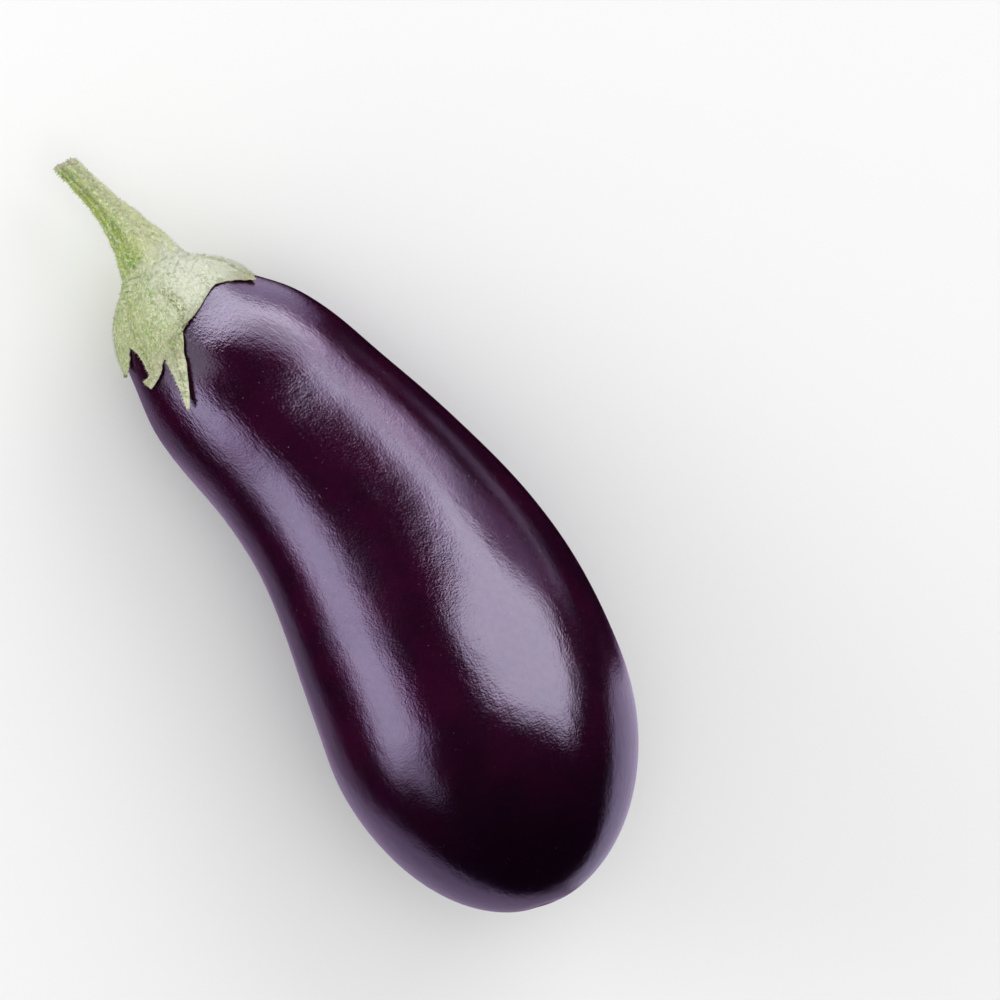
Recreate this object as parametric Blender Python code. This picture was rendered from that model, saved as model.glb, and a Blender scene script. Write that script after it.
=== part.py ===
"""An eggplant as picked, lying on its side: the fruit, and its green cap with the stem.

Metres, +Z up. The stem points towards -X, the blossom end towards +X, and the fruit's bend lies
almost level. The origin is under the middle of the whole, on the surface that it lies on.
"""

from math import cos, exp, pi, radians, sin, tan

import bmesh
import bpy
import numpy as np
from mathutils import Matrix, Vector

MM = 0.001
UP = Vector((0, 0, 1))

# Fruit: its length along the curved middle line, and how far each end is rounded off
FRUIT_LENGTH = 201.5 * MM
NECK_ROUNDING = 14 * MM
BLOSSOM_ROUNDING = 58 * MM

# Fruit: millimetres from the neck end, and the radius there before the ends are rounded
GIRTH = [(0, 17.3), (14, 20.0), (30, 26.9), (40, 28.9), (60, 30.5), (80, 33.4), (100, 37.1),
         (120, 40.3), (143, 41.7), (201.5, 41.5)]

# Fruit: millimetres from the neck end, and the middle line's heading in degrees from +X to +Y
BEND = [(0, 3.0), (20, 12.3), (40, 14.5), (60, 11.9), (80, 6.6), (100, 0.3), (120, -5.8),
        (140, -10.8), (170, -15.4), (201.5, -17.0)]

# Fruit: soft lobes down its sides, and the scar where the blossom was
LOBES = 5
LOBE_HEIGHT = 0.25 * MM
SCAR_RADIUS = 3.0 * MM
SCAR_DEPTH = 0.9 * MM
FRUIT_RINGS = 48
FRUIT_SIDES = 48

# Cap: gap to the fruit, thickness at the crown and at the tips, what lifts its edges, and how far
# back towards the crown the blades' roots bow between two notches, in millimetres
CAP_GAP = 0.45 * MM
CROWN_THICKNESS = 1.1 * MM
BLADE_THICKNESS = 0.85 * MM
TIP_THICKNESS = 0.7 * MM
CROWN_FADE = 6 * MM
TIP_LIFT = 1.0 * MM
RIB_HEIGHT = 0.22 * MM
SIDE_RIBS = 3
NOTCH_BOW = 2.5

# Sepals, going round from the top of the fruit towards +Y: each one's first notch and its tip as
# degrees round and millimetres along, how narrow its two sides run in, and its columns of faces
SEPALS = [
    {"notch": (-29, 18.0), "tip": (-35, 32.0), "waists": (0.25, 0.78), "columns": 14},
    {"notch": (39, 12.5), "tip": (75, 18.0), "waists": (0.55, 0.50), "columns": 12},
    {"notch": (105, 12.5), "tip": (138, 27.0), "waists": (0.60, 0.70), "columns": 12},
    {"notch": (180, 11.0), "tip": (219, 22.5), "waists": (0.65, 0.45), "columns": 12},
    {"notch": (255, 9.5), "tip": (279, 15.0), "waists": (0.50, 0.60), "columns": 8},
    {"notch": (301, 10.1), "tip": (312, 21.2), "waists": (0.90, 0.40), "columns": 8},
]

# Shares of the way from the crown to the notches where the cap has rings, outside and inside
OUTER_RINGS = [0.28, 0.5, 0.75, 1.0]
INNER_RINGS = [0.012, 0.05, 0.12, 0.24, 0.4, 0.58, 0.78, 1.0]
BLADE_ROWS = [0.2, 0.4, 0.6, 0.78, 0.9]

# Stem: the three points of its middle line in millimetres from the fruit's neck end
STEM_TIP = Vector((-37.4, -2.8, 0)) * MM
STEM_BOW = Vector((-17.0, 2.6, 0)) * MM
STEM_FOOT = Vector((-2.7, 2.4, 0)) * MM

# Stem: share of its length from the cut end, and the radius in millimetres
STEM_GIRTH = [(0, 2.8), (0.25, 3.15), (0.43, 3.8), (0.57, 5.0), (0.7, 5.8), (0.85, 7.3), (1, 8.5)]
STEM_RINGS = [0.1, 0.22, 0.34, 0.45, 0.55, 0.65, 0.75, 0.84, 0.92, 1.0]
CUT_SLANT = radians(22)
CUT_ROUNDING = 0.8 * MM

# How the whole lies: turned about X, then about Y, and pressed flat by this much below
LIE_ROLL = radians(8)
LIE_PITCH = radians(-6.6)
FLAT_DEPTH = 0.8 * MM


def smooth(stations, place):
    """The value at a place on a smooth curve through (place, value) stations."""
    places, values = np.array(stations, float).T
    slopes = np.gradient(values, places)
    step = np.clip(np.searchsorted(places, place) - 1, 0, len(places) - 2)
    width = places[step + 1] - places[step]
    t = (place - places[step]) / width
    start = (2 * t**3 - 3 * t**2 + 1) * values[step] + (t**3 - 2 * t**2 + t) * width * slopes[step]
    end = (3 * t**2 - 2 * t**3) * values[step + 1] + (t**3 - t**2) * width * slopes[step + 1]
    return start + end


def bezier(start, bend, end, t):
    """A point on the curve that leaves start towards bend and arrives at end."""
    return start * (1 - t) ** 2 + bend * 2 * t * (1 - t) + end * t**2


def middle_line(steps=400):
    """Distances along the fruit's middle line, with its x, y and heading at each."""
    places = np.linspace(0, FRUIT_LENGTH, steps + 1)
    headings = np.radians(smooth(BEND, places / MM))
    halfway = (headings[1:] + headings[:-1]) / 2
    step = FRUIT_LENGTH / steps
    x = np.concatenate([[0], np.cumsum(np.cos(halfway))]) * step
    y = np.concatenate([[0], np.cumsum(np.sin(halfway))]) * step
    return places, x, y, headings


MIDDLE_LINE = middle_line()


def fruit_radius(along):
    """The fruit's radius at a distance along its middle line, with both ends rounded."""
    from_neck = 1 - min(max(along, 0), NECK_ROUNDING) / NECK_ROUNDING
    from_blossom = 1 - min(max(FRUIT_LENGTH - along, 0), BLOSSOM_ROUNDING) / BLOSSOM_ROUNDING
    rounding = max(1 - from_neck**2, 0) ** 0.5 * max(1 - from_blossom**2, 0) ** 0.5
    return float(smooth(GIRTH, along / MM)) * MM * rounding


def fruit_point(along, around, out=0.0):
    """A point of the fruit's skin, or one that stands out from the skin by out."""
    places, xs, ys, headings = MIDDLE_LINE
    x, y, heading = (float(np.interp(along, places, row)) for row in (xs, ys, headings))
    forward = Vector((cos(heading), sin(heading), 0))
    side = Vector((-sin(heading), cos(heading), 0))
    outward = side * sin(around) + UP * cos(around)
    radius = fruit_radius(along)
    nudge = 0.05 * MM
    slope = (fruit_radius(along + nudge) - fruit_radius(along - nudge)) / (2 * nudge)
    normal = (outward - forward * slope).normalized()
    swell = sin(pi * along / FRUIT_LENGTH) ** 2
    lobe = LOBE_HEIGHT * swell * cos(LOBES * around)
    scar = SCAR_DEPTH * exp(-((radius / SCAR_RADIUS) ** 2)) if along > FRUIT_LENGTH / 2 else 0
    return Vector((x, y, 0)) + outward * (radius + lobe) + normal * out - forward * scar


def add_ring(bm, points):
    return [bm.verts.new(point) for point in points]


def join_rings(bm, first, second):
    for i in range(len(first)):
        bm.faces.new((first[i - 1], first[i], second[i], second[i - 1]))


def close_ring(bm, ring, centre):
    middle = bm.verts.new(centre)
    for i in range(len(ring)):
        bm.faces.new((ring[i - 1], ring[i], middle))


def join_rows(bm, first, second):
    for i in range(len(first) - 1):
        bm.faces.new((first[i], first[i + 1], second[i + 1], second[i]))


def fruit_mesh():
    """The whole fruit as rings round its middle line, closer together near its two ends."""
    bm = bmesh.new()
    rings = []
    for i in range(1, FRUIT_RINGS):
        along = FRUIT_LENGTH * (1 - cos(pi * i / FRUIT_RINGS)) / 2
        around = [2 * pi * j / FRUIT_SIDES for j in range(FRUIT_SIDES)]
        rings.append(add_ring(bm, [fruit_point(along, turn) for turn in around]))
    for first, second in zip(rings, rings[1:]):
        join_rings(bm, first, second)
    close_ring(bm, rings[0], fruit_point(0, 0))
    close_ring(bm, rings[-1], fruit_point(FRUIT_LENGTH, 0))
    return bm


def sepal_corners(index):
    """First notch, tip and second notch of a sepal, as (degrees round, millimetres along)."""
    last = index == len(SEPALS) - 1
    following = np.array(SEPALS[0]["notch"] if last else SEPALS[index + 1]["notch"], float)
    following[0] += 360 if last else 0
    return np.array(SEPALS[index]["notch"], float), np.array(SEPALS[index]["tip"], float), following


def sepal_place(index, down, across):
    """Where on the fruit a sepal's point lies, from its notches (down 0) to its tip (down 1)."""
    notch, tip, following = sepal_corners(index)
    sides = []
    for corner, waist in zip((notch, following), SEPALS[index]["waists"]):
        bend = corner + (tip - corner) * np.array((waist, 1 - waist))
        sides.append(bezier(corner, bend, tip, down))
    place = sides[0] * (1 - across) + sides[1] * across
    bow = NOTCH_BOW * sin(pi * across) * (1 - down) ** 2
    return place - np.array((0, bow))


def cap_columns():
    """The cap's columns of faces, going round: each one's sepal and its share across that sepal."""
    return [
        (index, column / sepal["columns"])
        for index, sepal in enumerate(SEPALS)
        for column in range(sepal["columns"])
    ]


def rib(across, count=1):
    """1 along a sepal's ribs, -1 in the grooves between them and at its edges."""
    return cos(2 * pi * count * (across - 0.5))


def cap_point(index, down, across, outer):
    """A point of the cap where it lies on the fruit; down below 0 is its crown, above 0 a blade."""
    degrees, millimetres = sepal_place(index, max(down, 0), across)
    along = millimetres * MM * (1 + min(down, 0))
    out = CAP_GAP + TIP_LIFT * max(down, 0) ** 2
    if outer:
        thickness = BLADE_THICKNESS + (TIP_THICKNESS - BLADE_THICKNESS) * max(down, 0)
        ribs = RIB_HEIGHT * rib(across, SIDE_RIBS) * (1 - max(down, 0))
        out += thickness + CROWN_THICKNESS * exp(-((along / CROWN_FADE) ** 2)) + ribs
    return fruit_point(along, radians(degrees), out)


def cap_blades(bm, notch_ring, outer):
    """The sepals of one of the cap's two faces. It returns their whole edge, in order."""
    edge = []
    first = 0
    for index, sepal in enumerate(SEPALS):
        count = sepal["columns"]
        rows = [[notch_ring[(first + i) % len(notch_ring)] for i in range(count + 1)]]
        for down in BLADE_ROWS:
            points = [cap_point(index, down, i / count, outer) for i in range(count + 1)]
            rows.append(add_ring(bm, points))
        for upper, lower in zip(rows, rows[1:]):
            join_rows(bm, upper, lower)
        tip = bm.verts.new(cap_point(index, 1, 0.5, outer))
        for i in range(count):
            bm.faces.new((rows[-1][i], rows[-1][i + 1], tip))
        edge += [row[0] for row in rows] + [tip] + [row[-1] for row in reversed(rows[1:])]
        first += count
    return edge


def stem_ring(bm, share, radius, back=0.0, slant=0.0):
    """One ring of the stem, square to its middle line or slanted as its cut end is."""
    centre = bezier(STEM_TIP, STEM_BOW, STEM_FOOT, share)
    ahead = bezier(STEM_TIP, STEM_BOW, STEM_FOOT, share + 0.01)
    forward = (ahead - centre).normalized()
    side = UP.cross(forward)
    points = []
    for index, across in cap_columns():
        around = radians(sepal_place(index, 0, across)[0])
        ribbed = radius * (1 + 0.05 * rib(across))
        shift = ribbed * sin(around) * tan(slant) - back
        points.append(centre + forward * shift + (side * sin(around) + UP * cos(around)) * ribbed)
    return add_ring(bm, points)


def cap_mesh():
    """The stem, the crown and the sepals: an outer and an inner face joined round the edge."""
    bm = bmesh.new()
    cut_radius = STEM_GIRTH[0][1] * MM
    rings = [
        stem_ring(bm, 0, cut_radius - CUT_ROUNDING, CUT_ROUNDING, CUT_SLANT),
        stem_ring(bm, 0, cut_radius, 0, CUT_SLANT),
    ]
    rings += [stem_ring(bm, share, float(smooth(STEM_GIRTH, share)) * MM) for share in STEM_RINGS]
    close_ring(bm, rings[0], STEM_TIP)
    crown = [
        add_ring(bm, [cap_point(i, share - 1, across, True) for i, across in cap_columns()])
        for share in OUTER_RINGS
    ]
    shoulder = [(a.co + b.co) / 2 for a, b in zip(rings[-1], crown[0])]
    rings += [add_ring(bm, shoulder)] + crown
    inside = [
        add_ring(bm, [cap_point(i, share - 1, across, False) for i, across in cap_columns()])
        for share in INNER_RINGS
    ]
    for first, second in list(zip(rings, rings[1:])) + list(zip(inside, inside[1:])):
        join_rings(bm, first, second)
    close_ring(bm, inside[0], Vector((-CAP_GAP, 0, 0)))
    outer_edge = cap_blades(bm, rings[-1], True)
    inner_edge = cap_blades(bm, inside[-1], False)
    join_rings(bm, outer_edge, inner_edge)
    return bm


def lay_down(fruit, cap):
    """Turns both as they lie, presses the fruit's resting spot flat and centres the whole."""
    turn = Matrix.Rotation(LIE_PITCH, 4, "Y") @ Matrix.Rotation(LIE_ROLL, 4, "X")
    for bm in (fruit, cap):
        bm.transform(turn)
    lowest = min(vertex.co.z for vertex in fruit.verts)
    rise = Matrix.Translation((0, 0, -lowest - FLAT_DEPTH))
    for bm in (fruit, cap):
        bm.transform(rise)
    everything = fruit.verts[:] + fruit.edges[:] + fruit.faces[:]
    bmesh.ops.bisect_plane(
        fruit, geom=everything, dist=0.01 * MM, plane_co=(0, 0, 0), plane_no=(0, 0, -1), clear_outer=True
    )
    bmesh.ops.holes_fill(fruit, edges=[edge for edge in fruit.edges if edge.is_boundary])
    corners = np.array([vertex.co for bm in (fruit, cap) for vertex in bm.verts])
    middle = (corners.min(axis=0) + corners.max(axis=0)) / 2
    for bm in (fruit, cap):
        bm.transform(Matrix.Translation((-middle[0], -middle[1], 0)))


def material(name, colour, roughness, coat):
    finish = bpy.data.materials.new(name)
    finish.use_nodes = True
    shader = finish.node_tree.nodes["Principled BSDF"]
    shader.inputs["Base Color"].default_value = (*colour, 1)
    shader.inputs["Roughness"].default_value = roughness
    shader.inputs["Metallic"].default_value = 0
    shader.inputs["Coat Weight"].default_value = coat
    return finish


def add_object(name, bm, finish):
    bmesh.ops.recalc_face_normals(bm, faces=bm.faces)
    mesh = bpy.data.meshes.new(name)
    bm.to_mesh(mesh)
    bm.free()
    mesh.shade_smooth()
    mesh.set_sharp_from_angle(angle=radians(50))
    mesh.materials.append(finish)
    bpy.context.scene.collection.objects.link(bpy.data.objects.new(name, mesh))


def main():
    for old in list(bpy.data.objects):
        bpy.data.objects.remove(old)
    fruit = fruit_mesh()
    cap = cap_mesh()
    lay_down(fruit, cap)
    add_object("fruit", fruit, material("skin", (0.013, 0.002, 0.016), 0.25, 0.6))
    add_object("calyx_stem", cap, material("green", (0.36, 0.42, 0.16), 0.7, 0))


main()
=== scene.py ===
from math import cos, exp, pi, radians, sin, tan

import bmesh
import bpy
import numpy as np
from mathutils import Matrix, Vector, noise


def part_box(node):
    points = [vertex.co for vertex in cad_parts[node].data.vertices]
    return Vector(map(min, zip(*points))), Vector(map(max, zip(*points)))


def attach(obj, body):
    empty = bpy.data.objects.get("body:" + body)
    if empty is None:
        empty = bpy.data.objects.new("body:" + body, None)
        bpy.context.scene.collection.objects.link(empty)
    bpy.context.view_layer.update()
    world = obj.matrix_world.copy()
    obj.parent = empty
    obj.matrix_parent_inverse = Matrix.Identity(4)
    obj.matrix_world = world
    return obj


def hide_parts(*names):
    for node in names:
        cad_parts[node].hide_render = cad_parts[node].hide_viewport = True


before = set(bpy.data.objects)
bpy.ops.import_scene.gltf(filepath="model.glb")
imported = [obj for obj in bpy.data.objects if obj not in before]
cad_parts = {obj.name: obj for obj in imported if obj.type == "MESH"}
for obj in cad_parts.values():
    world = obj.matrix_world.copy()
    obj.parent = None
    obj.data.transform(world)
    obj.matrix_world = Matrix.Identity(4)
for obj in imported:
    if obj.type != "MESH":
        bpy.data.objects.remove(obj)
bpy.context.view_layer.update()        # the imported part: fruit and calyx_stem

mm = 0.001
up = Vector((0, 0, 1))

# How the eggplant lies: rolled about its length, then tipped until its belly rests
lie = {"roll": radians(8), "pitch": radians(-6.6)}
turn = Matrix.Rotation(lie["pitch"], 4, "Y") @ Matrix.Rotation(lie["roll"], 4, "X")

fruitShape = {
    "length": 201.5 * mm,
    "neckRounding": 14 * mm,
    "blossomRounding": 58 * mm,
    # millimetres from the neck end, and the radius there
    "girth": [(0, 17.3), (14, 20.0), (30, 26.9), (40, 28.9), (60, 30.5), (80, 33.4), (100, 37.1),
              (120, 40.3), (143, 41.7), (201.5, 41.5)],
    # millimetres from the neck end, and the middle line's heading in degrees
    "bend": [(0, 3.0), (20, 12.3), (40, 14.5), (60, 11.9), (80, 6.6), (100, 0.3), (120, -5.8),
             (140, -10.8), (170, -15.4), (201.5, -17.0)],
    "lobes": 5,
    "lobeHeight": 0.25 * mm,
    "scarAt": (1.2 * mm, 2.6 * mm),      # from the blossom end's middle: sideways, up
    "scarReach": (3.4 * mm, 2.6 * mm),
    "scarDepth": 1.1 * mm,
    "sides": 48,
    "rings": 44,
    "waveSize": 26 * mm,       # soft unevenness of the whole skin
    "waveHeight": 0.22 * mm,
    "calmEnd": 60 * mm,        # the unevenness dies out over this length at the blossom end
    "flatAt": 0.02 * mm,       # the resting spot is cut level at this height
}


def smooth(stations, place):
    # Value at a place on a smooth curve through (place, value) stations
    places, values = np.array(stations, float).T
    slopes = np.gradient(values, places)
    step = np.clip(np.searchsorted(places, place) - 1, 0, len(places) - 2)
    width = places[step + 1] - places[step]
    t = (place - places[step]) / width
    start = (2 * t**3 - 3 * t**2 + 1) * values[step] + (t**3 - 2 * t**2 + t) * width * slopes[step]
    end = (3 * t**2 - 2 * t**3) * values[step + 1] + (t**3 - t**2) * width * slopes[step + 1]
    return start + end


def bezier(start, bend, end, t):
    return start * (1 - t) ** 2 + bend * 2 * t * (1 - t) + end * t**2


def middleLine(steps=400):
    # Distances along the fruit's middle line, with x, y and heading at each
    places = np.linspace(0, fruitShape["length"], steps + 1)
    headings = np.radians(smooth(fruitShape["bend"], places / mm))
    halfway = (headings[1:] + headings[:-1]) / 2
    step = fruitShape["length"] / steps
    x = np.concatenate([[0], np.cumsum(np.cos(halfway))]) * step
    y = np.concatenate([[0], np.cumsum(np.sin(halfway))]) * step
    return places, x, y, headings


fruitLine = middleLine()


def fruitRadius(along):
    neck, blossom, length = (fruitShape[k] for k in ("neckRounding", "blossomRounding", "length"))
    fromNeck = 1 - min(max(along, 0), neck) / neck
    fromBlossom = 1 - min(max(length - along, 0), blossom) / blossom
    rounding = max(1 - fromNeck**2, 0) ** 0.5 * max(1 - fromBlossom**2, 0) ** 0.5
    return float(smooth(fruitShape["girth"], along / mm)) * mm * rounding


def fruitPoint(along, around, out=0.0):
    # A point of the skin as it grew, or one that stands out from it
    places, xs, ys, headings = fruitLine
    x, y, heading = (float(np.interp(along, places, row)) for row in (xs, ys, headings))
    forward = Vector((cos(heading), sin(heading), 0))
    side = Vector((-sin(heading), cos(heading), 0))
    outward = side * sin(around) + up * cos(around)
    radius = fruitRadius(along)
    nudge = 0.05 * mm
    slope = (fruitRadius(along + nudge) - fruitRadius(along - nudge)) / (2 * nudge)
    normal = (outward - forward * slope).normalized()
    swell = sin(pi * along / fruitShape["length"]) ** 2
    lobe = fruitShape["lobeHeight"] * swell * cos(fruitShape["lobes"] * around)
    scar = 0
    if along > fruitShape["length"] / 2:
        across = np.array((radius * sin(around), radius * cos(around))) - fruitShape["scarAt"]
        scar = fruitShape["scarDepth"] * exp(-sum((across / fruitShape["scarReach"]) ** 2))
    return Vector((x, y, 0)) + outward * (radius + lobe) + normal * out - forward * scar


def startRing(name, sides, radius=20 * mm):
    # A ring of numbered corners, ready in edit mode for placeRing
    bpy.ops.object.select_all(action="DESELECT")
    bpy.ops.mesh.primitive_circle_add(vertices=sides, radius=radius)
    piece = bpy.context.object
    piece.name = piece.data.name = name
    bpy.ops.object.mode_set(mode="EDIT")
    mesh = bmesh.from_edit_mesh(piece.data)
    column = mesh.verts.layers.int.new("column")
    mesh.verts.layers.int.new("row")
    mesh.verts.layers.float_vector.new("growth")
    for layer in ("rib", "vein", "down"):
        mesh.verts.layers.float.new(layer)
    mesh.verts.ensure_lookup_table()
    for number in range(sides):
        mesh.verts[number][column] = number
    return piece


def placeRing(piece, row, rule):
    # Puts the selected corners where the rule has their columns
    mesh = bmesh.from_edit_mesh(piece.data)
    layers = mesh.verts.layers
    column, rowLayer = layers.int["column"], layers.int["row"]
    growth, rib, vein = layers.float_vector["growth"], layers.float["rib"], layers.float["vein"]
    for vertex in mesh.verts:
        if vertex.select:
            vertex.co, vertex[growth], vertex[rib], vertex[vein] = rule(vertex[column])
            vertex[rowLayer] = row
    bmesh.update_edit_mesh(piece.data)


def growRing(piece, row, rule):
    bpy.ops.mesh.extrude_region_move()
    placeRing(piece, row, rule)


def closePole(piece, row, rule):
    bpy.ops.mesh.extrude_region_move()
    bpy.ops.mesh.merge(type="CENTER")
    placeRing(piece, row, rule)


def selectRing(piece, row, wanted=lambda column: True):
    mesh = bmesh.from_edit_mesh(piece.data)
    bpy.ops.mesh.select_all(action="DESELECT")
    column, rowLayer = mesh.verts.layers.int["column"], mesh.verts.layers.int["row"]
    for vertex in mesh.verts:
        vertex.select = vertex[rowLayer] == row and wanted(vertex[column])
    mesh.select_flush(True)
    bmesh.update_edit_mesh(piece.data)


def sortPiece(piece):
    # Corners, edges and faces in the order of their rows and columns; the order that the
    # operators leave changes from run to run, and the down is drawn by face number
    mesh = bmesh.from_edit_mesh(piece.data)
    row, column = mesh.verts.layers.int["row"], mesh.verts.layers.int["column"]
    total = len(mesh.verts)

    def number(part):
        first, second, *rest = sorted(vertex.index for vertex in part.verts)
        return (first * total + second) * total + (rest[0] if rest else 0)

    mesh.verts.sort(key=lambda vertex: vertex[row] * total + vertex[column])
    mesh.verts.index_update()
    for parts in (mesh.edges, mesh.faces):
        parts.sort(key=number)
        parts.index_update()
    bmesh.update_edit_mesh(piece.data)


def applyModifier(piece, kind, **settings):
    modifier = piece.modifiers.new(kind.title(), kind)
    for name, value in settings.items():
        setattr(modifier, name, value)
    bpy.context.view_layer.objects.active = piece
    bpy.ops.object.modifier_apply(modifier=modifier.name)


def readPoints(piece, name):
    # An attribute of all the corners, as an array
    attribute = piece.data.attributes[name]
    wide = attribute.data_type == "FLOAT_VECTOR"
    values = np.zeros(len(attribute.data) * (3 if wide else 1), np.float32)
    attribute.data.foreach_get("vector" if wide else "value", values)
    return values.reshape(-1, 3) if wide else values


def liftSkin(piece, lifts):
    # Moves each corner out along its normal
    normals = np.zeros(len(piece.data.vertices) * 3, np.float32)
    piece.data.vertices.foreach_get("normal", normals)
    points = readPoints(piece, "position") + normals.reshape(-1, 3) * np.asarray(lifts)[:, None]
    piece.data.vertices.foreach_set("co", points.ravel())
    piece.data.update()


def layDown(piece):
    piece.data.transform(Matrix.Translation(neckEnd) @ turn)


def growFruit():
    sides, rings, length = fruitShape["sides"], fruitShape["rings"], fruitShape["length"]
    shrink = (2 + cos(2 * pi / sides)) / 3    # what the subdivision takes off a ring

    def ruleAt(along):
        def rule(column):
            around = 2 * pi * column / sides
            reach = fruitRadius(along)
            centre = fruitPoint(along, 0) - fruitPoint(along, pi)
            middle = (fruitPoint(along, 0) + fruitPoint(along, pi)) / 2
            point = middle + (fruitPoint(along, around) - middle) / shrink if centre.length else middle
            return point, Vector((reach * sin(around), reach * cos(around), along)), 0.0, 0.0
        return rule

    fruit = startRing("fruitSkin", sides)
    stations = [length * (1 - cos(pi * i / rings)) / 2 for i in range(1, rings)]
    placeRing(fruit, 1, ruleAt(stations[0]))
    closePole(fruit, 0, ruleAt(0))
    selectRing(fruit, 1)
    for number, along in enumerate(stations[1:], 2):
        growRing(fruit, number, ruleAt(along))
    closePole(fruit, rings, ruleAt(length))
    bpy.ops.mesh.select_all(action="SELECT")
    bpy.ops.mesh.normals_make_consistent(inside=False)
    sortPiece(fruit)
    bpy.ops.object.mode_set(mode="OBJECT")
    applyModifier(fruit, "SUBSURF", levels=2, render_levels=2)
    places = readPoints(fruit, "growth")
    wave = np.array([noise.noise(Vector(place) / fruitShape["waveSize"]) for place in places])
    calm = np.clip((length - places[:, 2]) / fruitShape["calmEnd"], 0, 1)
    liftSkin(fruit, wave * calm * fruitShape["waveHeight"])
    layDown(fruit)
    bpy.ops.object.mode_set(mode="EDIT")
    bpy.ops.mesh.select_all(action="SELECT")
    flat = (0, 0, fruitShape["flatAt"])
    bpy.ops.mesh.bisect(plane_co=flat, plane_no=up, use_fill=True, clear_inner=True)
    bpy.ops.object.mode_set(mode="OBJECT")
    bpy.ops.object.shade_smooth()
    return fruit


# Where the fruit's neck end lies: its box is the CAD fruit's
def findNeckEnd(stations=160, spokes=48):
    alongs = np.linspace(0, fruitShape["length"], stations)
    arounds = np.linspace(0, 2 * pi, spokes, endpoint=False)
    points = [turn @ fruitPoint(along, around) for along in alongs for around in arounds]
    low, high = np.min(points, axis=0), np.max(points, axis=0)
    cadLow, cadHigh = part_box("fruit")
    middle = (cadLow + cadHigh) / 2 - Vector((low + high) / 2)
    return Vector((middle.x, middle.y, cadHigh.z - high[2]))


neckEnd = findNeckEnd()
print("neck end at", [round(c, 4) for c in neckEnd])

capShape = {
    "gap": 0.45 * mm,
    "thickness": 0.5 * mm,
    "bladeHeight": 0.65 * mm,       # the blades' outer face above the skin, without the gap
    "edgeDip": 0.35 * mm,           # a sepal's edges lie closer to the skin
    "crownHeight": 1.1 * mm,
    "crownFade": 6 * mm,
    "notchBow": 2.5,
    "degreeWidth": 0.42,           # millimetres in a degree round the neck
    "finer": 2,                    # columns for each of the numbers below
    # Going round from the top of the fruit, in degrees round and millimetres along: each sepal's
    # notch, its edge from there to the tip, and its other edge from the next notch to the tip
    "sepals": [
        {"notch": (-27.6, 19.3), "tip": (-34, 33.4), "columns": 16, "lift": 0.9 * mm, "corner": (0.46, 0.1),
         "near": [(-28.3, 22.5), (-29.0, 25.5), (-30.2, 28.8), (-32.4, 31.5)],
         "far": [(31, 14.3), (24, 15.0), (15, 16.0), (6, 16.8), (-3.6, 16.7), (-6.3, 18.0), (-10, 20.2),
                 (-14.5, 23.0), (-18, 25.6), (-22, 28.2), (-26.5, 30.6), (-30.5, 32.5)]},
        {"notch": (38, 13.8), "tip": (64, 21.4), "columns": 12, "lift": -0.1 * mm,
         "near": [(48, 15.2), (57, 18.0)], "far": [(95, 14.2), (82, 17.0), (72, 19.6)]},
        {"notch": (105, 12.5), "tip": (138, 27.0), "columns": 12, "lift": 1.0 * mm,
         "near": [(113, 15.0), (125, 20.5), (133, 24.5)], "far": [(167, 13.0), (153, 17.5), (144, 23.0)]},
        {"notch": (180, 11.0), "tip": (219, 22.5), "columns": 12, "lift": 1.0 * mm,
         "near": [(192, 13.0), (206, 17.0)], "far": [(243, 11.6), (230, 15.5)]},
        {"notch": (255, 9.5), "tip": (285.5, 15.9), "columns": 8, "lift": 1.0 * mm,
         "near": [(265, 10.9), (276, 13.3)], "far": [(303.3, 12.0), (299.6, 13.4), (293.5, 14.9)]},
        {"notch": (307.9, 11.1), "tip": (312, 22.6), "columns": 8, "lift": 0.9 * mm,
         "near": [(311, 12.6), (313.6, 14.2), (314.2, 16.0), (314.0, 18.2), (314.4, 19.6), (305.6, 19.6),
                  (310.5, 21.3)],
         "far": [(329.0, 19.6), (326.4, 20.4), (325.0, 21.4), (322, 21.5), (319.5, 21.9), (316, 22.3)]},
    ],
    "crownRows": [0.28, 0.4, 0.52, 0.64, 0.76, 0.88, 1.0],
    "bladeRows": 26,
    "ribs": 3,                     # across each sepal's share of the crown
    "ribHeight": 0.22 * mm,
    "crownVein": 0.85,             # how far the crown's seams reach into the edge colour
    "ragged": 0.5 * mm,
    "raggedSeed": (1.1, 0.4, 7),   # how fast it changes along, round and from sepal to sepal
    "raggedBand": (6, 6),          # how close to the edge it keeps, and how soon it starts
    "dipBand": (4, 8),             # the same for the dip of the edges
    "wrinkleHeight": 0.24 * mm,
    "wrinkleScale": 0.45,
    "wrinkleNoise": (1.0, 2.0, 3),  # smoothness, how much finer each layer is, layers
}

stemShape = {
    "tip": Vector((-37.4, -2.8, 0)) * mm,
    "bow": Vector((-17.0, 2.6, 0)) * mm,
    "foot": Vector((-2.7, 2.4, 0)) * mm,
    # share of its length from the cut end, and the radius in millimetres
    "girth": [(0, 2.8), (0.25, 3.15), (0.43, 3.8), (0.57, 5.0), (0.7, 5.8), (0.85, 7.3), (1, 8.5)],
    "rows": 30,
    "cutSlant": radians(22),
    "slantFade": 6,                # the slant is gone a sixth of the way down the stem
    "cutRounding": 0.8 * mm,
    # the cut end's rings: shares of the radius and of the rounding in each one's radius, and of
    # the rounding in how far it stands out
    "cutRings": [(1, -0.3, 0.7), (1, -1, 1), (0.4, 0, 0.8)],
    "ridge": 0.05,
    "vein": 0.5,                   # neither a vein nor an edge
}


def sepalCorners(index):
    sepals = capShape["sepals"]
    last = index == len(sepals) - 1
    following = np.array(sepals[0 if last else index + 1]["notch"], float)
    following[0] += 360 if last else 0
    return np.array(sepals[index]["notch"], float), np.array(sepals[index]["tip"], float), following


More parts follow.
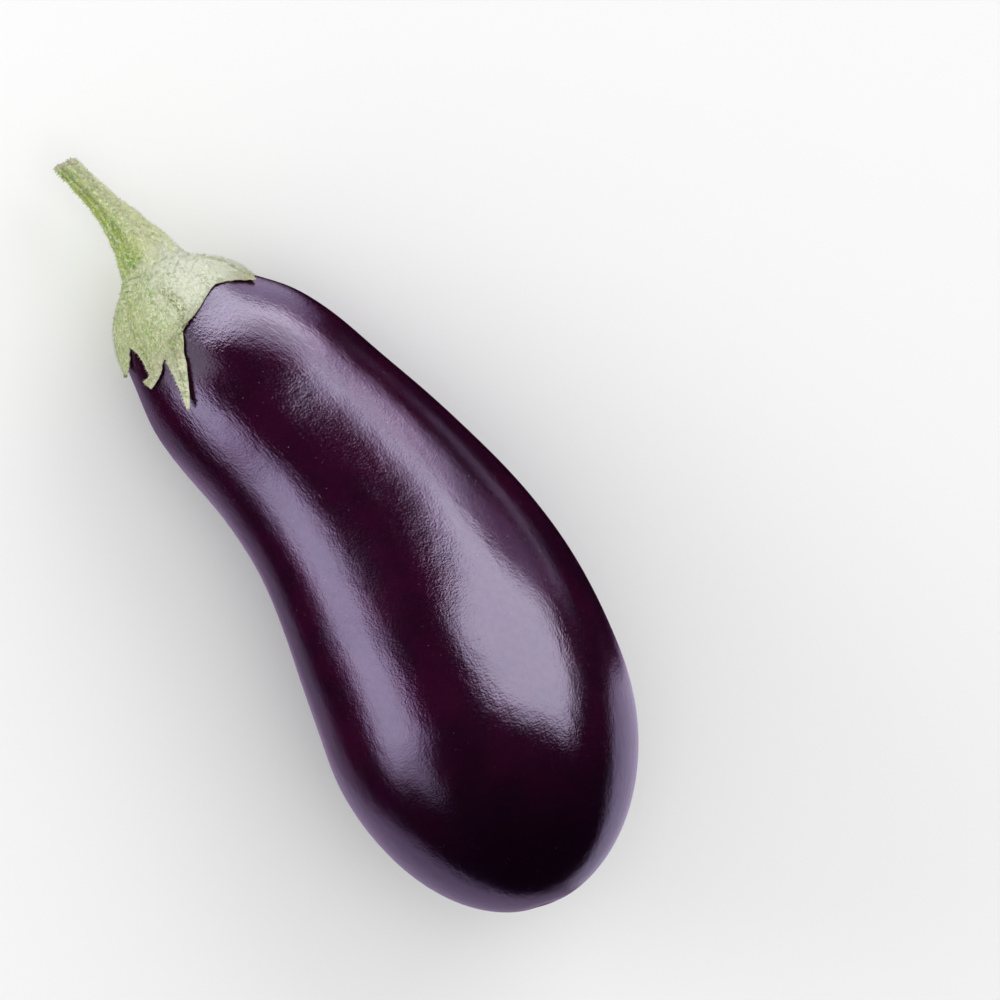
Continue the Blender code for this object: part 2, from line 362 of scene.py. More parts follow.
def alongEdge(points, share):
    # A point at a share of an edge's length
    points = np.array(points, float)
    steps = np.hypot(np.diff(points[:, 0]) * capShape["degreeWidth"], np.diff(points[:, 1]))
    lengths = np.concatenate([[0], np.cumsum(steps)]) / steps.sum()
    return np.array([np.interp(share, lengths, points[:, axis]) for axis in (0, 1)])


def sepalPlace(index, down, across):
    # Where a sepal's point lies, as degrees round and millimetres along
    notch, tip, following = sepalCorners(index)
    sepal = capShape["sepals"][index]
    # the near edge waits for the far one's corner
    farCorner, nearCorner = sepal.get("corner", (0.5, 0.5))
    waited = np.interp(down, (0, farCorner, 1), (0, nearCorner, 1))
    near = alongEdge([notch, *sepal["near"], tip], waited)
    far = alongEdge([following, *(np.array(point) for point in sepal["far"]), tip], down)
    place = near * (1 - across) + far * across
    return place - np.array((0, capShape["notchBow"] * sin(pi * across) * (1 - down) ** 2))


def capColumns():
    # Each column's sepal, and its share across that sepal
    return [
        (index, column / (sepal["columns"] * capShape["finer"]))
        for index, sepal in enumerate(capShape["sepals"])
        for column in range(sepal["columns"] * capShape["finer"])
    ]


def rib(across, count):
    return cos(2 * pi * count * (across - 0.5))


def capPoint(index, down, across):
    # A point of the crown where down is below 0, and of a sepal from 0 to 1 at its tip
    blade = max(down, 0)
    angle, millimetres = sepalPlace(index, blade, across)
    along = millimetres * mm * (1 + min(down, 0))
    toEdge = abs(2 * across - 1)      # 0 at a sepal's middle, 1 at its edges
    if down > 0:
        band, start = capShape["raggedBand"]
        edge = toEdge**band * min(down * start, 1)
        seed = Vector(np.multiply((millimetres, angle, index), capShape["raggedSeed"]))
        angle += edge * noise.noise(seed) * capShape["ragged"] / fruitRadius(along) * 180 / pi
    band, start = capShape["dipBand"]
    out = capShape["gap"] + capShape["bladeHeight"] + capShape["sepals"][index]["lift"] * blade**2
    out += capShape["crownHeight"] * exp(-((along / capShape["crownFade"]) ** 2))
    out -= capShape["edgeDip"] * toEdge**band * min(blade * start, 1)
    around = radians(angle)
    reach = fruitRadius(along) + out
    ribbing = rib(across, capShape["ribs"]) * (1 - blade)
    vein = toEdge * (1 if down > 0 else capShape["crownVein"])
    growth = Vector((reach * sin(around), reach * cos(around), along))
    return fruitPoint(along, around, out), growth, ribbing, vein


def stemPoint(index, across, share, radius, back=0.0, slant=0.0, step=0.01):
    line = [stemShape[name] for name in ("tip", "bow", "foot")]
    centre, ahead = bezier(*line, share), bezier(*line, share + step)
    forward = (ahead - centre).normalized()
    side = up.cross(forward)
    around = radians(sepalPlace(index, 0, across)[0])
    ribbed = radius * (1 + stemShape["ridge"] * rib(across, 1))
    outward = side * sin(around) + up * cos(around)
    shift = ribbed * sin(around) * tan(slant) - back
    growth = Vector((ribbed * sin(around), ribbed * cos(around), centre.x))
    return centre + forward * shift + outward * ribbed, growth, rib(across, 1), stemShape["vein"]


hairLook = {
    "count": 11000,
    "length": 0.65 * mm,
    "thickness": 0.10 * mm,
    "rootInset": 0.02 * mm,
    "rootPaleness": 0.5,       # how much of the down's colour its roots have
    "lean": 0.5,
    "seed": 4,
}


def growHairs(cap, outerFaces):
    # Fine down: small faces drawn out of the outer skin to points
    bpy.ops.object.mode_set(mode="EDIT")
    bpy.ops.mesh.select_mode(type="FACE")
    bpy.ops.mesh.select_all(action="DESELECT")
    mesh = bmesh.from_edit_mesh(cap.data)
    mesh.faces.ensure_lookup_table()
    random = np.random.default_rng(hairLook["seed"])
    areas = np.array([face.calc_area() for face in mesh.faces[:outerFaces]])
    picked = random.choice(outerFaces, hairLook["count"], replace=False, p=areas / areas.sum())
    taken = set()
    for number in picked:
        face = mesh.faces[number]
        if not taken.intersection(face.verts):
            taken.update(face.verts)
            face.select = True
    bmesh.update_edit_mesh(cap.data)
    bpy.ops.mesh.inset(use_individual=True, thickness=hairLook["rootInset"])
    mesh = bmesh.from_edit_mesh(cap.data)
    down = mesh.verts.layers.float["down"]
    for face in mesh.faces:
        if face.select:
            centre = face.calc_center_median()
            shrink = min(1, hairLook["thickness"] / face.calc_area() ** 0.5)
            for vertex in face.verts:
                vertex.co = centre + (vertex.co - centre) * shrink
                vertex[down] = hairLook["rootPaleness"]
    bmesh.update_edit_mesh(cap.data)
    bpy.ops.mesh.extrude_faces_move(TRANSFORM_OT_shrink_fatten={"value": hairLook["length"]})
    bpy.ops.mesh.merge(type="COLLAPSE")
    bpy.ops.mesh.select_mode(type="VERT")
    mesh = bmesh.from_edit_mesh(cap.data)
    down = mesh.verts.layers.float["down"]
    lean = hairLook["lean"] * hairLook["length"]
    for vertex in mesh.verts:
        if vertex.select:
            vertex.co += Vector(random.uniform(-lean, lean, 3))
            vertex[down] = 1
    bmesh.update_edit_mesh(cap.data)
    bpy.ops.object.mode_set(mode="OBJECT")


def growCap():
    columns = capColumns()
    total = len(columns)
    cutRadius = stemShape["girth"][0][1] * mm
    rounding, slant = stemShape["cutRounding"], stemShape["cutSlant"]

    def stemRule(share, radius, back=0.0, slanted=0.0):
        return lambda column: stemPoint(*columns[column % total], share, radius, back, slanted)

    def crownRule(share):
        return lambda column: capPoint(columns[column][0], share - 1, columns[column][1])

    # the cut end, closed outwards from the stem's first ring
    cap = startRing("capAndStem", total)
    placeRing(cap, 0, stemRule(0, cutRadius, 0, slant))
    for number, (ofRadius, ofRounding, beyond) in enumerate(stemShape["cutRings"], 1):
        radius = cutRadius * ofRadius + rounding * ofRounding
        growRing(cap, -number, stemRule(0, radius, rounding * beyond, slant))
    pole = (stemShape["tip"], Vector((0, 0, stemShape["tip"].x)), 0.0, stemShape["vein"])
    closePole(cap, -len(stemShape["cutRings"]) - 1, lambda column: pole)
    # the stem, from the cut end to its foot
    selectRing(cap, 0)
    row = 0
    for share in np.linspace(0, 1, stemShape["rows"])[1:]:
        row += 1
        radius = float(smooth(stemShape["girth"], share)) * mm
        growRing(cap, row, stemRule(share, radius, 0, slant * max(0, 1 - share * stemShape["slantFade"])))
    foot, crown = stemRule(1, radius), crownRule(capShape["crownRows"][0])

    def shoulderRule(column):
        return tuple((a + b) / 2 for a, b in zip(foot(column), crown(column)))

    # the crown, and then each sepal from its part of the crown's last ring
    row += 1
    growRing(cap, row, shoulderRule)
    for share in capShape["crownRows"]:
        row += 1
        growRing(cap, row, crownRule(share))
    notchRow, first = row, 0
    for index, sepal in enumerate(capShape["sepals"]):
        count = sepal["columns"] * capShape["finer"]
        firstRow = notchRow + 100 * (index + 1)     # each sepal's rows have a hundred of their own

        def bladeRule(down):
            return lambda column: capPoint(index, down, ((column - first) % total) / count)

        selectRing(cap, notchRow, lambda column: (column - first) % total <= count)
        for number, down in enumerate(np.linspace(0, 1, capShape["bladeRows"] + 2)[1:-1], 1):
            growRing(cap, firstRow + number, bladeRule(down))
        bpy.ops.mesh.extrude_region_move()
        bpy.ops.mesh.merge(type="CENTER")
        placeRing(cap, firstRow + 99, lambda column: capPoint(index, 1, 0.5))
        first += count
    bpy.ops.mesh.select_all(action="SELECT")
    bpy.ops.mesh.normals_make_consistent(inside=False)
    sortPiece(cap)
    bpy.ops.object.mode_set(mode="OBJECT")
    applyModifier(cap, "SUBSURF", levels=1, render_levels=1)
    wrinkles = np.array([
        noise.fractal(Vector(place) / mm * capShape["wrinkleScale"], *capShape["wrinkleNoise"])
        for place in readPoints(cap, "growth")
    ])
    liftSkin(cap, readPoints(cap, "rib") * capShape["ribHeight"] + wrinkles * capShape["wrinkleHeight"])
    outerFaces = len(cap.data.polygons)
    applyModifier(cap, "SOLIDIFY", thickness=capShape["thickness"], offset=-1, use_even_offset=False)
    growHairs(cap, outerFaces)
    layDown(cap)
    bpy.ops.object.shade_smooth()
    return cap


def addNode(tree, kind, inputs=None, **settings):
    # A node with its settings; an input is a value or another node's output
    node = tree.nodes.new("ShaderNode" + kind)
    for name, value in settings.items():
        setattr(node, name, value)
    for name, value in (inputs or {}).items():
        if isinstance(value, bpy.types.NodeSocket):
            tree.links.new(value, node.inputs[name])
        else:
            node.inputs[name].default_value = value
    return node


def newMaterial(name):
    material = bpy.data.materials.new(name)
    material.use_nodes = True
    tree = material.node_tree
    return material, tree, tree.nodes["Principled BSDF"]


def growthPlace(tree, stretch=1.0):
    # Millimetres round and along the fruit as it grew; a stretch below 1 draws marks out along it
    growth = addNode(tree, "Attribute", attribute_name="growth").outputs["Vector"]
    scale = (1 / mm, 1 / mm, stretch / mm)
    return addNode(tree, "VectorMath", {0: growth, 1: scale}, operation="MULTIPLY").outputs[0]


def ramp(tree, value, low, high, toLow=0.0, toHigh=1.0):
    # Turns low..high into toLow..toHigh, smoothly
    inputs = {"Value": value, "From Min": low, "From Max": high, "To Min": toLow, "To Max": toHigh}
    return addNode(tree, "MapRange", inputs, interpolation_type="SMOOTHSTEP").outputs["Result"]


def mixColour(tree, factor, first, second):
    node = addNode(tree, "Mix", data_type="RGBA")
    for socket, value in zip((node.inputs[0], node.inputs[6], node.inputs[7]), (factor, first, second)):
        if isinstance(value, bpy.types.NodeSocket):
            tree.links.new(value, socket)
        else:
            socket.default_value = value if isinstance(value, float) else (*value, 1)
    return node.outputs[2]


def buildPatches():
    # Shared by both materials: soft-edged patches of noise, sized in the pattern's own units
    group = bpy.data.node_groups.new("patches", "ShaderNodeTree")
    group.interface.new_socket(name="Place", in_out="INPUT", socket_type="NodeSocketVector")
    for name, value in (("Size", 1.0), ("Detail", 2.0), ("Roughness", 0.5), ("From", 0.3), ("To", 0.7)):
        socket = group.interface.new_socket(name=name, in_out="INPUT", socket_type="NodeSocketFloat")
        socket.default_value = value
    group.interface.new_socket(name="Mask", in_out="OUTPUT", socket_type="NodeSocketFloat")
    given = group.nodes.new("NodeGroupInput").outputs
    scale = addNode(group, "Math", {0: 1.0, 1: given["Size"]}, operation="DIVIDE").outputs[0]
    inputs = {"Vector": given["Place"], "Scale": scale}
    inputs.update({name: given[name] for name in ("Detail", "Roughness")})
    mask = ramp(group, addNode(group, "TexNoise", inputs).outputs["Fac"], given["From"], given["To"])
    group.links.new(mask, group.nodes.new("NodeGroupOutput").inputs["Mask"])
    return group


patchesGroup = buildPatches()


def patches(tree, size, low=0.3, high=0.7, detail=2.0, roughness=0.5, stretch=1.0):
    # A mask of noise patches, sized in millimetres, that shows what is between two noise levels
    node = tree.nodes.new("ShaderNodeGroup")
    node.node_tree = patchesGroup
    tree.links.new(growthPlace(tree, stretch), node.inputs["Place"])
    values = {"Size": size, "Detail": detail, "Roughness": roughness, "From": low, "To": high}
    for name, value in values.items():
        node.inputs[name].default_value = value
    return node.outputs["Mask"]


def times(tree, first, second):
    return addNode(tree, "Math", {0: first, 1: second}, operation="MULTIPLY").outputs[0]


def bump(tree, height, depth, normal=None):
    inputs = {"Height": height, "Distance": depth, "Strength": 1.0}
    if normal is not None:
        inputs["Normal"] = normal
    return addNode(tree, "Bump", inputs).outputs["Normal"]


skinLook = {
    "colour": (0.0235, 0.0014, 0.0125),
    "deepColour": (0.0130, 0.0006, 0.0080),
    "blotches": {"size": 14, "low": 0.35, "high": 0.65, "detail": 3},
    # painted shade: the skin darkens towards this colour at the blossom end, where less light falls on it
    "endShadeColour": (0.0035, 0.0001, 0.0036),
    "endShadeFrom": (140, 192),        # millimetres along
    "speckColour": (0.20, 0.13, 0.19),
    "speckSpacing": 2.0,
    "speckSize": (0.10, 0.03),    # where its edge begins and ends, in shares of the spacing
    "speckPatches": {"size": 4, "low": 0.38, "high": 0.72},
    "speckFade": (120, 160, 1.0, 0.4),
    "scarColour": (0.020, 0.008, 0.010),
    "scarEdge": (1.3, 0.45),      # in shares of the dent's reach
    "scarFrom": (190, 194),
    "scarDullness": 0.22,
    "tint": (0.79, 0.72, 1.0),
    "specular": 1.0,
    "roughness": (0.10, 0.15),    # in the clear places and in the blotches
    "haze": (0.02, 0.14),
    "hazePatches": {"size": 1.6, "detail": 3, "roughness": 0.6},
    "hazeRoughness": 0.28,
    "peel": {"size": 0.6, "low": 0.1, "high": 0.9, "roughness": 0.6},
    "peelDepth": 0.034 * mm,
    "fibres": {"size": 0.6, "low": 0.1, "high": 0.9, "stretch": 0.25},
    "fibreFade": (90, 20, 0.2, 1.0),
    "fibreDepth": 0.05 * mm,
    "dimples": {"size": 3.2, "low": 0.1, "high": 0.9, "detail": 1, "stretch": 0.6},
    "dimpleDepth": 0.05 * mm,
}


def scarMask(tree, place, along):
    middle = tuple(part / mm for part in fruitShape["scarAt"])
    narrow = tuple(mm / part for part in fruitShape["scarReach"])
    across = addNode(tree, "VectorMath", {0: place, 1: (*middle, 0)}, operation="SUBTRACT").outputs[0]
    across = addNode(tree, "VectorMath", {0: across, 1: (*narrow, 0)}, operation="MULTIPLY").outputs[0]
    fromMiddle = addNode(tree, "VectorMath", {0: across}, operation="LENGTH").outputs["Value"]
    inDent = ramp(tree, fromMiddle, *skinLook["scarEdge"])
    return times(tree, inDent, ramp(tree, along, *skinLook["scarFrom"]))


def skinMaterial():
    look = skinLook
    material, tree, shader = newMaterial("skin")
    place = growthPlace(tree)
    along = addNode(tree, "SeparateXYZ", {0: place}).outputs["Z"]
    blotches = patches(tree, **look["blotches"])
    colour = mixColour(tree, blotches, look["colour"], look["deepColour"])
    # painted shade: the base colour darkens towards the blossom end over the millimetres along given in the
    # look
    colour = mixColour(tree, ramp(tree, along, *look["endShadeFrom"]), colour, look["endShadeColour"])
    # pale specks, in patches, fewer towards the blossom end
    cells = addNode(tree, "TexVoronoi", {"Vector": place, "Scale": 1 / look["speckSpacing"]})
    specks = ramp(tree, cells.outputs["Distance"], *look["speckSize"])
    speckMask = times(tree, specks, patches(tree, **look["speckPatches"]))
    speckMask = times(tree, speckMask, ramp(tree, along, *look["speckFade"]))
    colour = mixColour(tree, speckMask, colour, look["speckColour"])
    scar = scarMask(tree, place, along)      # dull, in its dent
    colour = mixColour(tree, scar, colour, look["scarColour"])
    tree.links.new(colour, shader.inputs["Base Color"])
    # relief: shallow dimples, fibres near the neck, fine peel
    fibres = times(tree, patches(tree, **look["fibres"]), ramp(tree, along, *look["fibreFade"]))
    normal = bump(tree, patches(tree, **look["dimples"]), look["dimpleDepth"])
    normal = bump(tree, fibres, look["fibreDepth"], normal)
    normal = bump(tree, patches(tree, **look["peel"]), look["peelDepth"], normal)
    tree.links.new(normal, shader.inputs["Normal"])
    gloss = ramp(tree, blotches, 0, 1, *look["roughness"])
    dull = times(tree, scar, look["scarDullness"])
    roughness = addNode(tree, "Math", {0: gloss, 1: dull}, operation="ADD").outputs[0]
    tree.links.new(roughness, shader.inputs["Roughness"])
    haze = ramp(tree, patches(tree, **look["hazePatches"]), 0, 1, *look["haze"])
    tree.links.new(haze, shader.inputs["Coat Weight"])
    shader.inputs["Specular IOR Level"].default_value = look["specular"]
    shader.inputs["Specular Tint"].default_value = (*look["tint"], 1)
    shader.inputs["Coat Roughness"].default_value = look["hazeRoughness"]
    return material


# From and Fade say where a colour begins and ends in millimetres along, and Flank in millimetres
# aside; veinWidth and edgeFrom go from 0 at a sepal's middle to 1 at its edges. The last two of four
# numbers are how strong the colour is at those places
capLook = {
    "white": (0.71, 0.74, 0.60),
    "olive": (0.38, 0.43, 0.17),
    "crownFlank": (-10, 9),       # from the olive flank to the white one
    "stemPale": (0.60, 0.63, 0.34),
    "stemGreen": (0.34, 0.44, 0.05),
    "stemFlank": (-2.5, 2.5),
    "collar": {"size": 3, "detail": 3},
    "collarRagged": 5.0,
    "collarFrom": (1, -5),        # the stem's colours take over here
    "blade": (0.44, 0.44, 0.25),
    "bladeFrom": (13, 19),
    "tip": (0.66, 0.68, 0.46),
    "tipFrom": (20, 26),
    "streak": (0.14, 0.30, 0.015),
    "streaks": {"size": 1.8, "low": 0.50, "high": 0.60, "detail": 4, "roughness": 0.7, "stretch": 0.55},
    "streakFlank": (2.0, -2.0, 0.2, 1.0),
    "streakFade": (12, -4, 0.5, 0.9),
    "crease": (0.24, 0.31, 0.07),
    "creases": {"size": 1.1, "low": 0.52, "high": 0.62, "detail": 4, "roughness": 0.8, "stretch": 0.45},
    "creasePatches": {"size": 7, "low": 0.42, "high": 0.60},
    "creaseStrength": 0.7,
    "creaseDepth": 0.06 * mm,
    "veinDots": {"size": 0.7, "low": 0.42, "high": 0.52, "detail": 3, "roughness": 0.8, "stretch": 0.6},
    "veinWidth": (0.20, 0.05),
    "veinFrom": (2, 8, 0, 0.9),
    "fuzz": (0.84, 0.87, 0.66),
    "fuzzSpots": {"size": 0.55, "low": 0.46, "high": 0.58, "detail": 4, "roughness": 0.85, "stretch": 0.7},
    "fuzzStrength": 0.6,
    "fuzzDepth": 0.06 * mm,
    "pore": (0.17, 0.20, 0.05),
    "pores": {"size": 0.6, "low": 0.42, "high": 0.34, "detail": 4, "roughness": 0.85, "stretch": 0.6},
    "poreFade": (2, 18, 0.45, 0.8),
    "edge": (0.66, 0.68, 0.50),
    "edgeFrom": (0.9, 1.0, 0, 0.6),
    "cutEnd": (0.48, 0.48, 0.31),
    "cutFrom": (-36.6, -37.2, 0, 0.85),
    "roughness": 0.8,
    "specular": 0.3,
    "sheen": 0.12,
}


def capMaterial():
    look = capLook
    material, tree, shader = newMaterial("capGreen")
    separate = addNode(tree, "SeparateXYZ", {0: growthPlace(tree)})
    aside, along = separate.outputs["X"], separate.outputs["Z"]
    vein = addNode(tree, "Attribute", attribute_name="vein").outputs["Fac"]
    hair = addNode(tree, "Attribute", attribute_name="down").outputs["Fac"]

    def layer(mask, colour, name):
        return mixColour(tree, mask, colour, look[name])

    # whitish on one flank and greener on the other, along the stem and round the crown
    crown = layer(ramp(tree, aside, *look["crownFlank"]), look["olive"], "white")
    stem = layer(ramp(tree, aside, *look["stemFlank"]), look["stemGreen"], "stemPale")
    ragged = times(tree, patches(tree, **look["collar"]), look["collarRagged"])
    collar = addNode(tree, "Math", {0: along, 1: ragged}, operation="ADD").outputs[0]
    colour = mixColour(tree, ramp(tree, collar, *look["collarFrom"]), crown, stem)
    colour = layer(ramp(tree, along, *look["bladeFrom"]), colour, "blade")
    colour = layer(ramp(tree, along, *look["tipFrom"]), colour, "tip")
    # green streaks and creases, then each sepal's dotted vein
    streaks = times(tree, patches(tree, **look["streaks"]), ramp(tree, aside, *look["streakFlank"]))
    colour = layer(times(tree, streaks, ramp(tree, along, *look["streakFade"])), colour, "streak")
    creases = patches(tree, **look["creases"])
    creaseMask = times(tree, creases, patches(tree, **look["creasePatches"]))
    colour = layer(times(tree, creaseMask, look["creaseStrength"]), colour, "crease")
    dots = times(tree, ramp(tree, vein, *look["veinWidth"]), patches(tree, **look["veinDots"]))
    colour = layer(times(tree, dots, ramp(tree, along, *look["veinFrom"])), colour, "pore")
    # pale fuzz, dark pores, pale edges and cut end, the down's own paleness
    fuzz = patches(tree, **look["fuzzSpots"])
    colour = layer(times(tree, fuzz, look["fuzzStrength"]), colour, "fuzz")
    pores = times(tree, patches(tree, **look["pores"]), ramp(tree, along, *look["poreFade"]))
    colour = layer(pores, colour, "pore")
    colour = layer(ramp(tree, vein, *look["edgeFrom"]), colour, "edge")
    colour = layer(ramp(tree, along, *look["cutFrom"]), colour, "cutEnd")
    colour = layer(times(tree, hair, look["fuzzStrength"]), colour, "fuzz")
    tree.links.new(colour, shader.inputs["Base Color"])
    normal = bump(tree, creases, -look["creaseDepth"])
    normal = bump(tree, fuzz, look["fuzzDepth"], normal)
    tree.links.new(normal, shader.inputs["Normal"])
    shader.inputs["Roughness"].default_value = look["roughness"]
    shader.inputs["Sheen Weight"].default_value = look["sheen"]
    shader.inputs["Specular IOR Level"].default_value = look["specular"]
    return material


fruit = growFruit()
fruit.data.materials.append(skinMaterial())
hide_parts("fruit")
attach(fruit, "root")
print("fruit skin:", len(fruit.data.polygons), "faces")

cap = growCap()
cap.data.materials.append(capMaterial())
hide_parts("calyx_stem")
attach(cap, "root")
print("cap and stem:", len(cap.data.polygons), "faces")

# The photograph's view: its right and its up as directions of the fruit as it grew
view = {
    "right": Vector((0.537, 0.843, 0)),
    "up": Vector((-0.843, 0.537, 0)),
    "scale": 3.75 / mm,              # pixels for each metre
    "neckPixel": (149.5, 278.1),
    "size": 1000,
    "distance": 2.5,
    "sensor": 36,                    # millimetres
    "farthest": 10,
}
right = (turn.to_3x3() @ view["right"]).normalized()
above = (turn.to_3x3() @ view["up"]).normalized()
toCamera = right.cross(above)
half = view["size"] / 2
neckX, neckY = view["neckPixel"]
centre = neckEnd + (right * (half - neckX) - above * (half - neckY)) / view["scale"]


def addCamera():
    bpy.ops.object.select_all(action="DESELECT")
    bpy.ops.object.camera_add(location=centre + toCamera * view["distance"])
    camera = bpy.context.object
    camera.name = "photoCamera"
    camera.rotation_euler = Matrix((right, above, toCamera)).transposed().to_euler()
    camera.data.sensor_width = view["sensor"]
    camera.data.lens = view["sensor"] * view["distance"] * view["scale"] / view["size"]
    camera.data.clip_end = view["farthest"]
    bpy.context.scene.camera = camera


addCamera()

# The plain floor; what the skin mirrors of it is painted on the light dome
floorLook = {"size": 6.0, "colour": (0.90, 0.90, 0.90), "roughness": 0.9, "specular": 0.1}


def addFloor():
    bpy.ops.object.select_all(action="DESELECT")
    bpy.ops.mesh.primitive_plane_add(size=floorLook["size"], location=(0, 0, 0))
    floor = bpy.context.object
    floor.name = "floor"
    material, tree, shader = newMaterial("paleFloor")
    shader.inputs["Base Color"].default_value = (*floorLook["colour"], 1)
    shader.inputs["Roughness"].default_value = floorLook["roughness"]
    shader.inputs["Specular IOR Level"].default_value = floorLook["specular"]
    floor.data.materials.append(material)
    floor.visible_glossy = False


addFloor()

# Soft lights; directions in degrees: towards the fruit's side, and along it towards the blossom end
forward = (turn.to_3x3() @ Vector((1, 0, 0))).normalized()
sideways = (turn.to_3x3() @ Vector((0, 1, 0))).normalized()
lookAt = Vector((0.0, 0.0, 0.04))


def direction(side, along):
    s, a = radians(side), radians(along)
    return (sideways * sin(s) * cos(a) + forward * sin(a) + toCamera * cos(s) * cos(a)).normalized()


lampLook = {
    "key": {"place": (-50, -40), "distance": 1.4, "size": 0.8, "power": 6.0},
    "fill": {"place": (55, -15), "distance": 1.5, "size": 1.0, "power": 4.5},
    "top": {"place": (5, 10), "distance": 1.6, "size": 1.2, "power": 4.5},
}


def addLamp(name, lamp):
    towards = direction(*lamp["place"])
    bpy.ops.object.select_all(action="DESELECT")
    bpy.ops.object.light_add(type="AREA", location=lookAt + towards * lamp["distance"])
    light = bpy.context.object
    light.name = name
    light.rotation_euler = towards.to_track_quat("Z", "Y").to_euler()
    light.data.shape = "SQUARE"
    light.data.size = lamp["size"]
    light.data.energy = lamp["power"]
    light.visible_glossy = False


for name, lamp in lampLook.items():
    addLamp(name, lamp)

# What mirrors in the skin: soft boxes on a dome, as corners in those directions, how bright each
# one glows at its neck end and its blossom end, and over how many degrees its edge fades
softBoxes = {
    "left": {"corners": [(-52, -26), (-49, -16), (-45, -8), (-43, -3), (-50, 1), (-60, 3.5), (-75, 2),
                         (-79, -3), (-80, -12), (-84, -26)], "glow": (3.7, 3.1), "soft": 14,
             "tint": (1.05, 1.0, 1.14)},
    "leftTail": {"corners": [(-84, 0), (-50, 0), (-51, 8), (-54, 18), (-59, 23), (-64, 17), (-70, 9),
                             (-80, 8)],
                 "glow": (1.4, 0.8), "soft": 5, "tint": (1.1, 1.0, 1.2)},
    "neckLeft": {"corners": [(-90, -20), (-45, -22), (-38, -27), (-19, -31), (-18, -48), (-8, -58),
                             (-40, -80), (-100, -60)], "glow": (0.9, 1.5), "soft": 12},
    "back": {"corners": [(-50, -85), (-28, -57), (-8, -53), (12, -51), (30, -48), (60, -48), (100, -50),
                         (110, -85)], "glow": (9.4, 3.9), "soft": 7},
    "shoulder": {"corners": [(14, -60), (24, -48), (35, -42), (49, -34), (53, -28), (51, -21), (78, -19),
                             (91, -24), (99, -32), (106, -66)], "glow": (3.5, 2.9), "soft": 20},
    "shoulderCore": {"corners": [(54, -60), (64, -46), (72, -38), (74, -28), (67, -20), (80, -21), (90, -26),
                                 (97, -34), (99, -60)], "glow": (5.9, 6.2), "soft": 17},
    "belly": {"corners": [(58, -24), (49, -18), (30, -13), (13, -8), (8.5, -3), (13.5, 2), (18, 7), (23, 12),
                          (29, 17), (38, 23), (62, 36), (71, 24), (77, 17), (80, 12), (84.5, 7), (80, 2),
                          (73, -3), (72, -8), (70, -13), (71, -24)], "glow": (5.4, 4.5), "soft": 7},
    "streak": {"corners": [(72, -27), (71, -18), (76, -11), (88, -11), (90, -16), (94, -20), (95, -27)],
               "glow": (2.0, 1.0), "soft": 5, "tint": (1.2, 1.0, 1.25)},
    "wedge": {"corners": [(76, -11), (78, 2), (88, 6), (97, 3), (99, -8), (90, -11)], "glow": (0.45, 0.45),
              "soft": 6, "tint": (1.4, 1.0, 1.5)},
    "line": {"corners": [(99.5, 8), (103, 3), (107.5, -4), (110.5, -11), (115, -15.5), (121, -16.5),
                         (121, -15.2), (117, -13.5), (114.5, -11), (112, -4), (108, 3), (103, 8)],
             "glow": (1.2, 1.2), "soft": 3, "tint": (1.15, 1.0, 1.25)},
    "neckRight": {"corners": [(98, -66), (98, -29), (125, -26), (150, -22), (180, -22), (180, -66)],
                  "glow": (1.6, 0.8), "soft": 7, "tint": (1.18, 1.0, 1.42)},
    "rimRight": {"corners": [(180, 6), (165, 8), (153, 12), (140, 15.5), (126, 17.5), (118.5, 21.5),
                             (113.5, 27), (114, 36), (119, 43), (125, 49), (140, 54), (180, 57)],
                 "glow": (0.84, 0.84), "soft": 3, "tint": (1.18, 1.0, 1.42)},
    "rimLeft": {"corners": [(-180, -6), (-140, -2), (-118, 8), (-108, 14), (-103, 24), (-105, 36), (-112, 46),
                            (-122, 52), (-150, 57), (-180, 57)], "glow": (0.42, 0.46), "soft": 7,
                "tint": (1.32, 1.0, 1.55)},
    "flankLeft": {"corners": [(-180, -20), (-130, -14), (-118, -2), (-114, 8), (-180, 10)],
                  "glow": (0.25, 0.25), "soft": 8, "tint": (1.32, 1.0, 1.55)},
}
domeLook = {
    "radius": 0.9,
    "finer": 7,
    "dark": (0.008, 0.003, 0.007),
    "fade": (0.82, 1.15, 0.88),     # red, green and blue fade differently, which makes the edges purple
    "underFrom": (140, 178),        # degrees aside, where the dome turns dimmer towards straight below
    "under": 0.6,
}


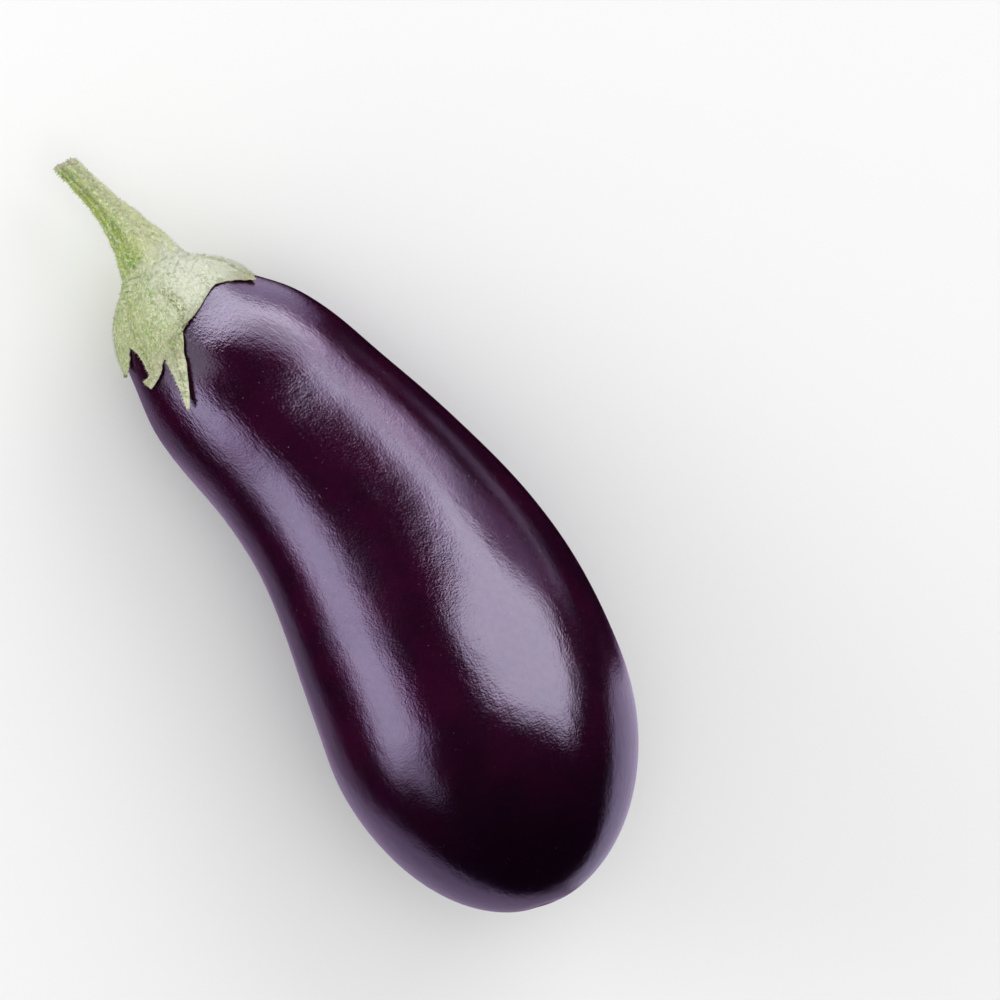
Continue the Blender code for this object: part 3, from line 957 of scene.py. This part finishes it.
def glowOver(side, along):
    # Colour of the soft boxes in many directions at once
    found = np.tile(domeLook["dark"], (len(side), 1))
    for box in softBoxes.values():
        corners = np.array(box["corners"], float)
        distance, inside = np.full(len(side), 1e9), np.zeros(len(side), bool)
        for (x, y), (nextX, nextY) in zip(corners, np.roll(corners, -1, axis=0)):
            edgeX, edgeY = nextX - x, nextY - y
            share = np.clip(((side - x) * edgeX + (along - y) * edgeY) / (edgeX**2 + edgeY**2), 0, 1)
            distance = np.minimum(distance, np.hypot(side - x - share * edgeX, along - y - share * edgeY))
            if edgeY:
                inside ^= ((y > along) != (nextY > along)) & (x + (along - y) * edgeX / edgeY > side)
        t = np.clip(0.5 + np.where(inside, distance, -distance) / box["soft"], 0, 1)
        low, high = corners[:, 1].min(), corners[:, 1].max()
        glow = np.interp(along, (low, high), box["glow"])[:, None] * np.array(box.get("tint", (1, 1, 1)))
        fade = (t * t * (3 - 2 * t))[:, None] ** domeLook["fade"]
        found = np.maximum(found, glow * fade)
    return found * np.interp(abs(side), domeLook["underFrom"], (1, domeLook["under"]))[:, None]


def addDome():
    bpy.ops.object.select_all(action="DESELECT")
    bpy.ops.mesh.primitive_ico_sphere_add(subdivisions=domeLook["finer"], radius=domeLook["radius"])
    dome = bpy.context.object
    dome.name = "lightDome"
    points = readPoints(dome, "position") / domeLook["radius"]
    side = np.degrees(np.arctan2(points @ sideways, points @ toCamera))
    along = np.degrees(np.arcsin(np.clip(points @ forward, -1, 1)))
    glow = dome.data.attributes.new("glow", "FLOAT_COLOR", "POINT")
    glow.data.foreach_set("color", np.c_[glowOver(side, along), np.ones(len(side))].ravel())
    dome.data.transform(Matrix.Translation(lookAt))
    material, tree, shader = newMaterial("lightDome")
    colour = addNode(tree, "Attribute", attribute_name="glow").outputs["Color"]
    emission = addNode(tree, "Emission", {"Color": colour, "Strength": 1.0})
    tree.links.new(emission.outputs[0], tree.nodes["Material Output"].inputs["Surface"])
    material.cycles.emission_sampling = "NONE"
    dome.data.materials.append(material)
    dome.visible_camera = dome.visible_diffuse = dome.visible_shadow = False
    dome.visible_transmission = dome.visible_volume_scatter = False


addDome()

airColour = (0.72, 0.72, 0.72)       # the even light all round
world = bpy.data.worlds.new("studio")
bpy.context.scene.world = world
world.use_nodes = True
world.node_tree.nodes["Background"].inputs["Color"].default_value = (*airColour, 1)
bpy.context.scene.view_settings.view_transform = "Standard"
